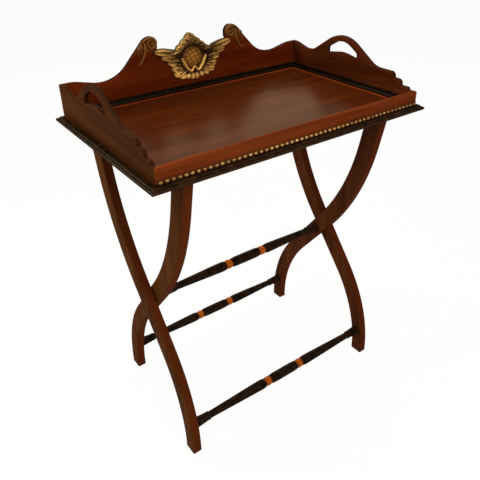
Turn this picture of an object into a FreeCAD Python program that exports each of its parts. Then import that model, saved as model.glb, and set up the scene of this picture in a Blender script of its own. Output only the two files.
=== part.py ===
import FreeCAD, Part
import math
import operator
import os
import Sketcher

# A butler's tray table: a galleried tray with a swan-neck back rests on a folding stand, two frames of
# S-shaped legs that cross at a turned rail. Millimetres and degrees. The origin is on the ground under
# the pivot, +X runs along the tray, +Y towards its back board and +Z up.

SIZES = {
    # tray floor and the rim moulding round its edge
    "rim_length": 720.0,
    "rim_depth": 472.0,
    "floor_thickness": 15.0,
    "floor_rebate": 3.5,
    "rim_overhang": 16.0,
    "rim_nose_radius": 4.0,
    "rim_cove_radius": 3.4,
    # boards of the gallery
    "board_thickness": 11.0,
    "board_bevel": 1.5,
    "corner_height": 73.0,
    "lip_height": 29.5,
    "lip_round": 4.0,
    # back board: scrolls, the flanks below them and the hollows beside them
    "crest_height": 146.5,
    "scroll_offset": 115.0,
    "scroll_radius": 17.5,
    "scroll_curl_radius": 9.5,
    "scroll_sweep_radius": 30.0,
    "scroll_neck": 14.0,
    "inner_corner_radius": 1.2,
    "flank_lean": 43.0,
    "back_hollow_height": 50.7,
    "back_hollow_radius": 88.0,
    "hump_length": 34.0,
    "hump_radius": 90.0,
    "middle_height": 100.0,
    "middle_half_width": 50.0,
    "middle_rise": 31.0,
    "middle_radius": 20.0,
    # end boards: hand-hole arch and stepped front end
    "handle_height": 117.5,
    "handle_lean": 57.3,
    "handle_radius": 91.0,
    "dip_height": 62.0,
    "dip_radius": 58.0,
    "end_hump_length": 20.0,
    "end_hump_run": 40.0,
    "step_start": 18.0,
    "step_tread": 23.0,
    "first_step_rise": 6.0,
    "hole_width": 103.0,
    "hole_apex": 112.0,
    "hole_arch_radius": 55.0,
    "hole_shoulder": 82.0,
    "hole_end_radius": 9.0,
    "hole_tip": 68.0,
    "hole_sill": 77.0,
    "hole_sill_radius": 100.0,
    "hole_tip_radius": 1.5,
    # mouldings inside and the bead strip in front
    "cove_height": 15.0,
    "cove_depth": 9.0,
    "cove_flat": 2.5,
    "string_width": 4.5,
    "string_height": 1.2,
    "bead_strip_height": 8.6,
    "bead_strip_thickness": 2.0,
    "bead_radius": 4.2,
    "bead_length": 11.0,
    "bead_relief": 3.2,
    "bead_taper": 38.0,
    "bead_pitch": 12.9,
    # carving on the back board
    "cartouche_width": 206.0,
    "cartouche_foot": 24.0,
    "cartouche_height": 114.0,
    "cartouche_thickness": 6.0,
    "boss_height": 72.0,
    "boss_width": 64.0,
    "boss_relief": 13.0,
    "boss_centre_height": 83.0,
    "volute_radius": 14.0,
    "volute_step": 3.4,
    "volute_band": 5.0,
    "volute_relief": 4.0,
    "leaf_length": 56.0,
    "leaf_width": 17.0,
    "leaf_relief": 3.5,
    # battens under the tray
    "batten_width": 13.0,
    "batten_height": 10.0,
    "batten_clearance": 0.4,
    # legs
    "stand_height": 757.0,
    "stand_width": 604.0,
    "leg_width": 23.0,
    "leg_foot_depth": 35.0,
    "leg_top_depth": 45.5,
    "leg_bevel": 1.8,
    "pivot_height": 358.0,
    "foot_spread": 174.0,
    "foot_straight": 10.5,
    "leg_lean": 39.5,
    "leg_straight_rise": 32.0,
    "top_lean": 12.0,
    "top_straight": 91.0,
    "washer_thickness": 1.0,
    "washer_radius": 14.0,
    # turned rail and stretchers
    "stretcher_height": 74.0,
    "tenon_radius": 7.0,
    "tenon_length": 15.0,
    "tenon_clearance": 0.05,
    "tenon_end_gap": 0.5,
    "barrel_radius": 13.0,
    "barrel_end_radius": 11.0,
    "barrel_taper": 16.0,
    "collar_offset": 54.0,
    "collar_length": 20.0,
    "collar_radius": 11.8,
    "collar_waist_radius": 9.0,
    "swell_radius": 12.8,
    "swell_shoulder": 7.0,
    "neck_radius": 8.6,
    "ring_radius": 9.8,
    "ring_length": 5.0,
    "turned_end_radius": 13.0,
    "turned_end_length": 36.0,
    # how far a cutting shape runs past what it cuts
    "overrun": 5.0,
}

# Outline of the carved cartouche's right half, from its peak to its foot: shares of half its width and of
# its height, and the corner's radius as a share of its height.
CARTOUCHE_SHARES = [
    (0.00, 1.00, 0.050), (0.20, 0.88, 0.040), (0.46, 0.67, 0.060), (0.74, 0.69, 0.080),
    (1.00, 0.73, 0.012), (0.93, 0.61, 0.030), (0.76, 0.53, 0.030), (0.62, 0.39, 0.030),
    (0.64, 0.25, 0.040), (0.50, 0.12, 0.040), (0.28, 0.03, 0.040), (0.00, 0.00, 0.050),
]

# Outline of the leaf that hangs beside each scroll, from its root to its tip and back: shares of its
# width and of its length, and the corner's radius as a share of its length.
LEAF_SHARES = [
    (0.20, 0.05, 0.03), (0.75, 0.00, 0.03), (1.00, -0.35, 0.10), (0.95, -0.70, 0.04),
    (1.30, -1.00, 0.01), (0.65, -0.85, 0.05), (0.45, -0.60, 0.05), (0.10, -0.50, 0.03), (0.30, -0.25, 0.05),
]

# Width of a volute band's crown as a share of its foot.
BAND_CROWN_SHARE = 0.45

# Half turns in a volute.
VOLUTE_HALF_TURNS = 4

# Share of the level edge of an end board that lies in front of its arch; the rest is behind it.
LEVEL_FRONT_SHARE = 0.7

# Radius of a rounded step as a share of its rise.
STEP_ROUND_SHARE = 0.85

# Share of a straight between two corners that their arcs may take up together.
ARC_FILL_SHARE = 0.98

# Sides of the outline of a bead.
BEAD_SIDES = 8

# Below this, two lengths of the model are the same.
TINY = 1e-5

OPERATIONS = {"+": operator.add, "-": operator.sub, "*": operator.mul, "/": operator.truediv}


class Size:
    """A value with the expression over the sheet that yields it, so that sums of sizes stay bound."""

    def __init__(self, value, text):
        self.value = float(value)
        self.text = text

    def __add__(self, other):
        return combined(self, "+", other)

    def __radd__(self, other):
        return combined(other, "+", self)

    def __sub__(self, other):
        return combined(self, "-", other)

    def __rsub__(self, other):
        return combined(other, "-", self)

    def __mul__(self, other):
        return combined(self, "*", other)

    def __rmul__(self, other):
        return combined(other, "*", self)

    def __truediv__(self, other):
        return combined(self, "/", other)

    def __neg__(self):
        return combined(0, "-", self)


def as_size(item):
    return item if isinstance(item, Size) else Size(item, str(item))


def combined(first, sign, second):
    first = as_size(first)
    second = as_size(second)
    return Size(OPERATIONS[sign](first.value, second.value), f"({first.text} {sign} {second.text})")


def sine(angle):
    return Size(math.sin(math.radians(angle.value)), f"sin({angle.text} * 1deg)")


def cosine(angle):
    return Size(math.cos(math.radians(angle.value)), f"cos({angle.text} * 1deg)")


def tangent(angle):
    return sine(angle) / cosine(angle)


def root(item):
    return Size(math.sqrt(item.value), f"sqrt({item.text})")


doc = FreeCAD.newDocument("butlers_tray_table")
sheet = doc.addObject("Spreadsheet::Sheet", "Sizes")


class Sheet:
    """The driving dimensions by name."""


s = Sheet()
for row, (alias, number) in enumerate(SIZES.items(), start=1):
    sheet.set(f"A{row}", alias)
    sheet.set(f"B{row}", str(number))
    sheet.setAlias(f"B{row}", alias)
    setattr(s, alias, Size(number, f"Sizes.{alias}"))
doc.recompute()

parts = []


def new_body(label):
    body = doc.addObject("PartDesign::Body", label)
    body.Label = label
    parts.append(body)
    return body


def new_primitive(kind, label):
    item = doc.addObject(kind, label)
    item.Label = label
    parts.append(item)
    return item


def bind(item, path, size):
    item.setExpression(path, as_size(size).text)


def place(item, across, along, up, turn=0):
    """Put an item at a point that follows the sheet, turned about +Z by whole degrees."""
    item.Placement = FreeCAD.Placement(FreeCAD.Vector(), FreeCAD.Rotation(FreeCAD.Vector(0, 0, 1), turn))
    bind(item, "Placement.Base.x", across)
    bind(item, "Placement.Base.y", along)
    bind(item, "Placement.Base.z", up)


def new_sketch(body, name, role, offset=0):
    """A sketch on one of the body's own origin planes, moved along the plane's normal by offset."""
    sketch = body.newObject("Sketcher::SketchObject", name)
    plane = next(item for item in body.Origin.OriginFeatures if item.Role == role)
    sketch.AttachmentSupport = [(plane, "")]
    sketch.MapMode = "FlatFace"
    bind(sketch, "AttachmentOffset.Base.z", offset)
    return sketch


def constrain(sketch, rules):
    """Add (constraint, name, size) rules; a named one follows its size on the sheet."""
    numbers = sketch.addConstraint([rule for rule, _, _ in rules])
    for number, (_, name, size) in zip(numbers, rules):
        if name:
            sketch.renameConstraint(number, name)
            bind(sketch, f"Constraints.{name}", size)


def hold_point(name, geometry, end, across, up):
    """Rules that hold one point of a sketch at a place measured from the sketch's origin."""
    across = as_size(across)
    up = as_size(up)
    return [
        (Sketcher.Constraint("DistanceX", -1, 1, geometry, end, across.value), f"{name}_across", across),
        (Sketcher.Constraint("DistanceY", -1, 1, geometry, end, up.value), f"{name}_up", up),
    ]


def add_arc(sketch, centre, start, end, left_turn):
    """Add the arc from start to end; return its number and the numbers of its start and end points."""
    first, last = (start, end) if left_turn else (end, start)
    angles = [math.atan2(point.y - centre.y, point.x - centre.x) for point in (first, last)]
    circle = Part.Circle(centre, FreeCAD.Vector(0, 0, 1), first.distanceToPoint(centre))
    arc = sketch.addGeometry(Part.ArcOfCircle(circle, *angles), False)
    return (arc, 1, 2) if left_turn else (arc, 2, 1)


def draw_outline(sketch, name, corners):
    """Draw a closed outline through corners (across, up, radius); a radius gives a tangent arc there.

    Arcs that would overrun the straight between two corners are shortened to share it.
    """
    count = len(corners)
    points = [FreeCAD.Vector(as_size(c[0]).value, as_size(c[1]).value, 0) for c in corners]
    ways = [(points[(i + 1) % count] - points[i]).normalize() for i in range(count)]
    lengths = [points[(i + 1) % count].distanceToPoint(points[i]) for i in range(count)]
    turns = [math.atan2(ways[i - 1].cross(ways[i]).z, ways[i - 1].dot(ways[i])) for i in range(count)]
    reach = [as_size(c[2]).value * math.tan(abs(turn) / 2) for c, turn in zip(corners, turns)]
    room = [max(reach[i] + reach[(i + 1) % count], TINY) for i in range(count)]
    fits = [min(1.0, ARC_FILL_SHARE * lengths[i] / room[i]) for i in range(count)]
    shrink = [min(fits[i - 1], fits[i]) for i in range(count)]
    arrive = [points[i] - ways[i - 1] * (reach[i] * shrink[i]) for i in range(count)]
    leave = [points[i] + ways[i] * (reach[i] * shrink[i]) for i in range(count)]

    first = sketch.GeometryCount
    sketch.addGeometry([Part.LineSegment(leave[i], arrive[(i + 1) % count]) for i in range(count)], False)
    rules = []
    for i, (across, up, radius) in enumerate(corners):
        line_in = first + (i - 1) % count
        line_out = first + i
        corner = f"{name}_{i + 1}"
        if not reach[i]:
            rules.append((Sketcher.Constraint("Coincident", line_in, 2, line_out, 1), "", None))
            rules += hold_point(corner, line_out, 1, across, up)
            continue
        radius = as_size(radius) * round(shrink[i], 6) if shrink[i] < 1 else as_size(radius)
        left_turn = turns[i] > 0
        inward = FreeCAD.Vector(-ways[i - 1].y, ways[i - 1].x, 0) * (1 if left_turn else -1)
        centre = arrive[i] + inward * radius.value
        arc, arc_in, arc_out = add_arc(sketch, centre, arrive[i], leave[i], left_turn)
        mark = sketch.addGeometry(Part.Point(points[i]), True)
        rules += [
            (Sketcher.Constraint("Tangent", line_in, 2, arc, arc_in), "", None),
            (Sketcher.Constraint("Tangent", arc, arc_out, line_out, 1), "", None),
            (Sketcher.Constraint("PointOnObject", mark, 1, line_in), "", None),
            (Sketcher.Constraint("PointOnObject", mark, 1, line_out), "", None),
            (Sketcher.Constraint("Radius", arc, radius.value), f"{corner}_radius", radius),
        ]
        rules += hold_point(corner, mark, 1, across, up)
    constrain(sketch, rules)


def draw_circle(sketch, name, across, up, radius):
    place_at = FreeCAD.Vector(as_size(across).value, as_size(up).value, 0)
    circle = sketch.addGeometry(Part.Circle(place_at, FreeCAD.Vector(0, 0, 1), radius.value), False)
    rules = [(Sketcher.Constraint("Radius", circle, radius.value), f"{name}_radius", radius)]
    constrain(sketch, rules + hold_point(name, circle, 3, across, up))


def pad(body, sketch, length, reverse=False, middle=False):
    feature = body.newObject("PartDesign::Pad", f"{sketch.Name}_pad")
    feature.Profile = sketch
    feature.Reversed = reverse
    feature.SideType = "Symmetric" if middle else "One side"
    bind(feature, "Length", length)
    return feature


def pocket(body, sketch, length=None, reverse=False, middle=False):
    """Cut a sketch away, to a length or, with none, all the way through."""
    feature = body.newObject("PartDesign::Pocket", f"{sketch.Name}_cut")
    feature.Profile = sketch
    feature.Reversed = reverse
    feature.SideType = "Symmetric" if middle else "One side"
    if length is None:
        feature.Type = "ThroughAll"
    else:
        bind(feature, "Length", length)
    return feature


def mirrored(body, feature):
    """Repeat a feature on the other side of the body's YZ plane."""
    plane = next(item for item in body.Origin.OriginFeatures if item.Role == "YZ_Plane")
    mirror = body.newObject("PartDesign::Mirrored", "other_half")
    mirror.Originals = [feature]
    mirror.MirrorPlane = (plane, [""])
    body.Tip = mirror
    return mirror


def mitre(body, half_length, depth, ends=(-1, 1)):
    """Cut a piece that runs along its own X at 45 degrees at the named ends, across a depth in Y."""
    reach = depth + s.overrun
    sketch = new_sketch(body, f"{body.Name}_mitre", "XY_Plane")
    for end in ends:
        near = end * (half_length - reach)
        far = end * (half_length + reach)
        corners = [(far, -reach, 0), (far, reach, 0), (near, reach, 0)]
        draw_outline(sketch, "left" if end < 0 else "right", corners if end > 0 else corners[::-1])
    return pocket(body, sketch, middle=True)


# Overall measures that several pieces share.
gallery_length = s.rim_length - 2 * s.rim_overhang
gallery_depth = s.rim_depth - 2 * s.rim_overhang
floor_top = s.stand_height + s.floor_thickness
rim_height = s.floor_thickness - s.floor_rebate
inside_length = gallery_length - 2 * s.board_thickness
inside_depth = gallery_depth - 2 * s.board_thickness

# Each side of the tray: its middle on the gallery's outer face and the turn that brings a piece's own +Y
# to point into the tray.
SIDES = {
    "front": (as_size(0), -gallery_depth / 2, 0),
    "back": (as_size(0), gallery_depth / 2, 180),
    "left": (-gallery_length / 2, as_size(0), -90),
    "right": (gallery_length / 2, as_size(0), 90),
}


def oblong(length, width):
    """Corners of an oblong about the origin."""
    across = length / 2
    along = width / 2
    return [(-across, -along, 0), (across, -along, 0), (across, along, 0), (-across, along, 0)]


def tray_floor():
    """The flat panel of the tray, rebated all round for the foot of the gallery boards."""
    body = new_body("tray_floor")
    lower = new_sketch(body, "lower_panel", "XY_Plane")
    draw_outline(lower, "lower", oblong(gallery_length, gallery_depth))
    pad(body, lower, rim_height)
    upper = new_sketch(body, "upper_panel", "XY_Plane")
    draw_outline(upper, "upper", oblong(inside_length, inside_depth))
    pad(body, upper, s.floor_thickness)
    place(body, 0, 0, s.stand_height)


def rim(side):
    """One length of the ebonised moulding round the floor: a rounded nose below, a cove above."""
    body = new_body(f"rim_{side}")
    middle_x, middle_y, turn = SIDES[side]
    inner_length = gallery_length if side in ("front", "back") else gallery_depth
    sketch = new_sketch(body, "rim_section", "YZ_Plane")
    nose_top = 2 * s.rim_nose_radius
    ledge = s.rim_overhang - s.rim_nose_radius
    draw_outline(sketch, "rim", [
        (0, 0, 0),
        (0, rim_height, 0),
        (s.rim_cove_radius - ledge, rim_height, 0),
        (s.rim_cove_radius - ledge, nose_top, s.rim_cove_radius),
        (-s.rim_overhang, nose_top, s.rim_nose_radius),
        (-s.rim_overhang, 0, s.rim_nose_radius),
    ])
    pad(body, sketch, inner_length + 2 * s.rim_overhang, middle=True)
    mitre(body, inner_length / 2, s.rim_overhang)
    place(body, middle_x, middle_y, s.stand_height, turn)


def trim_edges(body, feature, kind, size, wanted):
    """Round or bevel the edges of a feature that the test picks: kind is Fillet or Chamfer."""
    doc.recompute()
    names = [f"Edge{n}" for n, edge in enumerate(feature.Shape.Edges, start=1) if wanted(edge)]
    trim = body.newObject(f"PartDesign::{kind}", f"{body.Name}_{kind.lower()}")
    trim.Base = (feature, names)
    bind(trim, "Radius" if kind == "Fillet" else "Size", size)
    return trim


def on_top_outline(edge, length):
    """True for an edge of a board's outline on one of its faces, apart from its foot and upright ends."""
    box = edge.BoundBox
    upright_end = box.XLength < TINY and abs(abs(box.Center.x) - length.value / 2) < TINY
    return box.YLength < TINY and box.ZMax > TINY and not upright_end


def board(side, corners, holes=()):
    """A gallery board drawn on its outer face, mitred at both ends, its top and hole edges eased.

    Heights are measured from the floor's top, so the foot in the floor's rebate is below zero.
    """
    label = "front_lip" if side == "front" else f"{side}_board"
    body = new_body(label)
    middle_x, middle_y, turn = SIDES[side]
    length = gallery_length if side in ("front", "back") else gallery_depth
    sketch = new_sketch(body, f"{label}_outline", "XZ_Plane")
    draw_outline(sketch, "edge", corners)
    for number, hole in enumerate(holes, start=1):
        draw_outline(sketch, f"hole{number}", hole)
    feature = pad(body, sketch, s.board_thickness, reverse=True)
    kind, size = ("Fillet", s.lip_round) if side == "front" else ("Chamfer", s.board_bevel)
    trim_edges(body, feature, kind, size, lambda edge: on_top_outline(edge, length))
    mitre(body, length / 2, s.board_thickness)
    place(body, middle_x, middle_y, floor_top, turn)


def front_lip():
    half = gallery_length / 2
    board("front", [
        (-half, -s.floor_rebate, 0),
        (half, -s.floor_rebate, 0),
        (half, s.lip_height, 0),
        (-half, s.lip_height, 0),
    ])


def back_board():
    """Swan-neck back: humps at the corners, hollows, flanks up to the scrolls, a raised middle between."""
    half = gallery_length / 2
    flank_turn = (90 - s.flank_lean) / 2
    shoulder = s.scroll_offset + s.scroll_sweep_radius * tangent(flank_turn)
    hollow = shoulder + (s.crest_height - s.back_hollow_height) * tangent(s.flank_lean)
    curl = s.scroll_offset - s.scroll_radius
    underside = s.crest_height - 2 * s.scroll_radius
    right = [
        (half, -s.floor_rebate, 0),
        (half, s.corner_height, 0),
        (half - s.hump_length, s.corner_height, s.hump_radius),
        (hollow, s.back_hollow_height, s.back_hollow_radius),
        (shoulder, s.crest_height, s.scroll_sweep_radius),
        (curl, s.crest_height, s.scroll_radius),
        (curl, underside, s.scroll_curl_radius),
        (curl + s.scroll_neck, underside, s.inner_corner_radius),
        (curl, s.middle_height, s.scroll_neck / 2),
        (s.middle_half_width, s.middle_height, s.middle_radius),
        (0, s.middle_height + s.middle_rise, s.middle_radius),
    ]
    left = [(-across, up, radius) for across, up, radius in right[-2::-1]]
    board("back", right + left)


def end_board(side):
    """End board with a hand hole under an arch; three rounded steps lead down to the front lip.

    The outline is worked out along the tray, with back positive, and turned to the board's own direction.
    """
    way = 1 if side == "right" else -1
    half = gallery_depth / 2
    apex = s.handle_height + s.handle_radius / sine(s.handle_lean) - s.handle_radius
    arch_half = (apex - s.dip_height) * tangent(s.handle_lean)
    steps_end = s.step_start + 2 * s.step_tread - half
    hump_start = half - s.end_hump_length - s.end_hump_run
    level = hump_start - steps_end - 2 * arch_half
    middle = steps_end + level * LEVEL_FRONT_SHARE + arch_half
    first_top = s.lip_height + s.first_step_rise
    step_rise = (s.dip_height - first_top) / 2
    outline = [
        (-half, -s.floor_rebate, 0),
        (half, -s.floor_rebate, 0),
        (half, s.corner_height, 0),
        (half - s.end_hump_length, s.corner_height, s.dip_radius),
        (hump_start, s.dip_height, s.dip_radius),
        (middle + arch_half, s.dip_height, s.dip_radius),
        (middle, apex, s.handle_radius),
        (middle - arch_half, s.dip_height, s.dip_radius),
    ]
    for step in (2, 1, 0):
        across = step * s.step_tread + s.step_start - half
        rise = s.first_step_rise if step == 0 else step_rise
        top = s.lip_height if step == 0 else first_top + (step - 1) * step_rise
        outline += [(across, top + rise, rise * STEP_ROUND_SHARE), (across, top, s.inner_corner_radius)]
    outline.append((-half, s.lip_height, 0))
    left_tip = middle - s.hole_width / 2
    right_tip = middle + s.hole_width / 2
    hole = [
        (left_tip, s.hole_tip, s.hole_tip_radius),
        (middle, s.hole_sill, s.hole_sill_radius),
        (right_tip, s.hole_tip, s.hole_tip_radius),
        (right_tip, s.hole_shoulder, s.hole_end_radius),
        (middle, s.hole_apex, s.hole_arch_radius),
        (left_tip, s.hole_shoulder, s.hole_end_radius),
    ]
    turned = [[(way * across, up, radius) for across, up, radius in loop[::way]] for loop in (outline, hole)]
    board(side, turned[0], turned[1:])


def cove(side):
    """Ebonised moulding at the foot of a board, inside: a short upright, a cove and a square foot."""
    body = new_body(f"cove_{side}")
    across, along, turn = SIDES[side]
    sketch = new_sketch(body, "cove_section", "YZ_Plane")
    draw_outline(sketch, "cove", [
        (0, 0, 0),
        (s.cove_depth, 0, 0),
        (s.cove_depth, s.cove_flat, 0),
        (s.cove_flat, s.cove_flat, s.cove_depth - s.cove_flat),
        (s.cove_flat, s.cove_height, s.cove_flat / 2),
        (0, s.cove_height, 0),
    ])
    length = inside_length if side == "back" else inside_depth
    pad(body, sketch, length, middle=True)
    ends = {"back": (-1, 1), "left": (-1,), "right": (1,)}[side]
    mitre(body, length / 2, s.cove_depth, ends)
    if side == "back":
        along = along - s.board_thickness
    else:
        across = across + s.board_thickness if side == "left" else across - s.board_thickness
    place(body, across, along, floor_top, turn)


def string(side):
    """Light wood string that lies on the floor along the foot of a cove."""
    strip = new_primitive("Part::Box", f"string_{side}")
    back_edge = inside_depth / 2 - s.cove_depth
    side_edge = inside_length / 2 - s.cove_depth
    bind(strip, "Height", s.string_height)
    if side == "back":
        bind(strip, "Length", 2 * side_edge)
        bind(strip, "Width", s.string_width)
        place(strip, -side_edge, back_edge - s.string_width, floor_top)
        return
    bind(strip, "Length", s.string_width)
    bind(strip, "Width", back_edge + inside_depth / 2 - s.string_width)
    place(strip, side_edge - s.string_width if side == "right" else -side_edge, -inside_depth / 2, floor_top)


def bead_moulding():
    """Gilt strip along the foot of the lip with a row of eight-sided beads on it, one every pitch."""
    body = new_body("bead_moulding")
    strip = new_sketch(body, "bead_strip", "XZ_Plane")
    half = gallery_length / 2
    draw_outline(strip, "strip", [
        (-half, 0, 0), (half, 0, 0), (half, s.bead_strip_height, 0), (-half, s.bead_strip_height, 0),
    ])
    pad(body, strip, s.bead_strip_thickness)
    count = int(gallery_length.value // s.bead_pitch.value)
    row_length = (count - 1) * s.bead_pitch
    bead = new_sketch(body, "bead_outline", "XZ_Plane", s.bead_strip_thickness)
    turns = [math.pi * (2 * side + 1) / BEAD_SIDES for side in range(BEAD_SIDES)]
    draw_outline(bead, "bead", [
        (
            s.bead_length / 2 * math.cos(turn) - row_length / 2,
            s.bead_strip_height / 2 + s.bead_radius * math.sin(turn),
            0,
        )
        for turn in turns
    ])
    dome = pad(body, bead, s.bead_relief)
    bind(dome, "TaperAngle", -s.bead_taper)
    doc.recompute()
    row = body.newObject("PartDesign::LinearPattern", "bead_row")
    row.Originals = [dome]
    row.Direction = (next(item for item in body.Origin.OriginFeatures if item.Role == "X_Axis"), [""])
    row.Occurrences = count
    bind(row, "Length", row_length)
    body.Tip = row
    place(body, 0, -gallery_depth / 2, floor_top - s.floor_rebate)


def cartouche():
    """Carved plaque on the middle of the back board: a winged outline with an egg-shaped boss on it."""
    body = new_body("cartouche")
    half_width = s.cartouche_width / 2
    right = [
        (half_width * across, s.cartouche_foot + s.cartouche_height * up, s.cartouche_height * radius)
        for across, up, radius in CARTOUCHE_SHARES
    ]
    left = [(-across, up, radius) for across, up, radius in right[-2:0:-1]]
    sketch = new_sketch(body, "cartouche_outline", "XZ_Plane")
    draw_outline(sketch, "plaque", (right + left)[::-1])
    pad(body, sketch, s.cartouche_thickness)
    boss = body.newObject("PartDesign::AdditiveEllipsoid", "boss")
    bind(boss, "Radius1", s.boss_height / 2)
    bind(boss, "Radius2", s.boss_width / 2)
    bind(boss, "Radius3", s.boss_relief)
    bind(boss, "Placement.Base.y", -s.cartouche_thickness)
    bind(boss, "Placement.Base.z", s.boss_centre_height)
    back = new_sketch(body, "back_face", "XZ_Plane")
    low = s.boss_centre_height - s.boss_height
    high = s.boss_centre_height + s.boss_height
    draw_outline(back, "back", [
        (-s.boss_width, low, 0), (s.boss_width, low, 0), (s.boss_width, high, 0), (-s.boss_width, high, 0),
    ])
    pocket(body, back, s.boss_relief)
    place(body, 0, gallery_depth / 2 - s.board_thickness, floor_top)


def scroll_ornament(side):
    """Volute on a scroll, a raised band wound inwards, with a leaf hanging outside it."""
    way = 1 if side == "right" else -1
    body = new_body(f"scroll_ornament_{side}")
    centre_up = s.crest_height - s.scroll_radius
    start = way * (s.scroll_offset + s.volute_radius)
    section = new_sketch(body, "volute_section", "XY_Plane", centre_up)
    foot = s.volute_band / 2
    crown = foot * BAND_CROWN_SHARE
    draw_outline(section, "band", [
        (start - foot, 0, 0),
        (start - crown, -s.volute_relief, 0),
        (start + crown, -s.volute_relief, 0),
        (start + foot, 0, 0),
    ])
    path = new_sketch(body, "volute_path", "XZ_Plane")
    draw_volute(path, way, centre_up)
    sweep = body.newObject("PartDesign::AdditivePipe", "volute")
    sweep.Profile = section
    sweep.Spine = path
    leaf = new_sketch(body, "leaf_outline", "XZ_Plane")
    root_across = s.scroll_offset + s.volute_radius / 2
    corners = [
        (way * (root_across + s.leaf_width * across), centre_up + s.leaf_length * up, s.leaf_length * radius)
        for across, up, radius in LEAF_SHARES
    ]
    draw_outline(leaf, "leaf", corners[::-way])
    pad(body, leaf, s.leaf_relief)
    place(body, 0, gallery_depth / 2 - s.board_thickness, floor_top)


def draw_volute(path, way, centre_up):
    """Half circles about two centres in turn, each one step smaller than the last, over the top first."""
    rules = []
    last = None
    for turn in range(VOLUTE_HALF_TURNS):
        name = f"turn{turn + 1}"
        upward = turn % 2 == 0
        radius = s.volute_radius - turn * s.volute_step
        middle = s.scroll_offset if upward else s.scroll_offset - s.volute_step
        centre = FreeCAD.Vector(way * middle.value, centre_up.value, 0)
        outward = FreeCAD.Vector(way * radius.value * (1 if upward else -1), 0, 0)
        arc, begin, end = add_arc(path, centre, centre + outward, centre - outward, way > 0)
        rules.append((Sketcher.Constraint("Radius", arc, radius.value), f"{name}_radius", radius))
        rules += hold_point(f"{name}_end", arc, end, 0, centre_up)[1:]
        if last is None:
            rules += hold_point(name, arc, 3, way * middle, centre_up)
            rules += hold_point(f"{name}_start", arc, begin, 0, centre_up)[1:]
        else:
            rules.append((Sketcher.Constraint("Tangent", *last, arc, begin), "", None))
        last = (arc, end)
    constrain(path, rules)


def top_of_leg():
    """How far from the pivot's plane a leg's middle line meets the tray."""
    straight = s.leg_straight_rise * tangent(s.leg_lean)
    arc = top_arc_radius() * (cosine(s.top_lean) - cosine(s.leg_lean))
    return straight + arc + s.top_straight * tangent(s.top_lean)


def top_arc_radius():
    """Radius of the arc that leads from the leaning middle of a leg to its top."""
    rise = s.stand_height - s.top_straight - s.pivot_height - s.leg_straight_rise
    return rise / (sine(s.leg_lean) - sine(s.top_lean))


def foot_arc_radius():
    """Radius of the arc that leads from the upright foot of a leg to its leaning middle."""
    rise = s.pivot_height - s.foot_straight - s.foot_spread / tangent(s.leg_lean)
    return rise / tangent(s.leg_lean / 2)


def stretcher_spread():
    """How far from the pivot's plane a leg's middle line is at the height of the low stretchers."""
    radius = foot_arc_radius()
    above = s.stretcher_height - s.foot_straight
    return s.foot_spread - radius + root(radius * radius - above * above)


def leg_edge(way, edge):
    """One edge of a leg with its foot on the way side, from the ground up: the front edge is -1, the back 1.

    The leg's middle line is an upright foot, a lean through the pivot and a top that leans less. An edge lies
    half a depth beside it, so the corners are moved along the line that halves the angle there.
    """
    foot_half = edge * s.leg_foot_depth / 2
    top_half = edge * s.leg_top_depth / 2
    knee_up = s.pivot_height - s.foot_spread / tangent(s.leg_lean)
    knee = (way * s.foot_spread + foot_half, knee_up + way * foot_half * tangent(s.leg_lean / 2))
    turn = (s.leg_lean - s.top_lean) / 2
    slope = (s.leg_lean + s.top_lean) / 2
    above = s.leg_straight_rise + top_arc_radius() * tangent(turn) * cosine(s.leg_lean)
    shoulder = (
        top_half * cosine(slope) / cosine(turn) - way * above * tangent(s.leg_lean),
        s.pivot_height + above + way * top_half * sine(slope) / cosine(turn),
    )
    top_across = shoulder[0] - way * (s.stand_height - shoulder[1]) * tangent(s.top_lean)
    return [
        (knee[0], 0, 0),
        (*knee, foot_arc_radius() + way * foot_half),
        (*shoulder, top_arc_radius() - way * top_half),
        (top_across, s.stand_height, 0),
    ]


def along_leg(edge):
    """True for an edge that runs up a leg on one of its flat faces."""
    box = edge.BoundBox
    return box.XLength < TINY and box.ZLength > TINY


def leg(frame, side):
    """One S-shaped leg, sawn from a board and deeper towards its top, with bevelled edges.

    A leg is drawn with its inner face towards its own +X; right-hand legs are turned half round.
    """
    body = new_body(f"{frame}_leg_{side}")
    foot_side = -1 if frame == "outer" else 1
    way = foot_side if side == "left" else -foot_side
    outline = new_sketch(body, "leg_outline", "YZ_Plane")
    draw_outline(outline, "leg", leg_edge(way, 1) + leg_edge(way, -1)[::-1])
    plank = pad(body, outline, s.leg_width, middle=True)
    trim_edges(body, plank, "Chamfer", s.leg_bevel, along_leg)
    hole_radius = s.tenon_radius + s.tenon_clearance
    socket_depth = s.tenon_length + s.tenon_end_gap
    pivot = new_sketch(body, "pivot_hole", "YZ_Plane", s.leg_width / 2)
    draw_circle(pivot, "pivot", 0, s.pivot_height, hole_radius)
    pocket(body, pivot, s.leg_width if frame == "inner" else socket_depth)
    mortise = new_sketch(body, "stretcher_mortise", "YZ_Plane", s.leg_width / 2)
    draw_circle(mortise, "mortise", way * stretcher_spread(), s.stretcher_height, hole_radius)
    pocket(body, mortise, socket_depth)
    middle = outer_inside + s.leg_width / 2 if frame == "outer" else inner_inside + s.leg_width / 2
    place(body, middle if side == "right" else -middle, 0, 0, 180 if side == "right" else 0)


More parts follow.
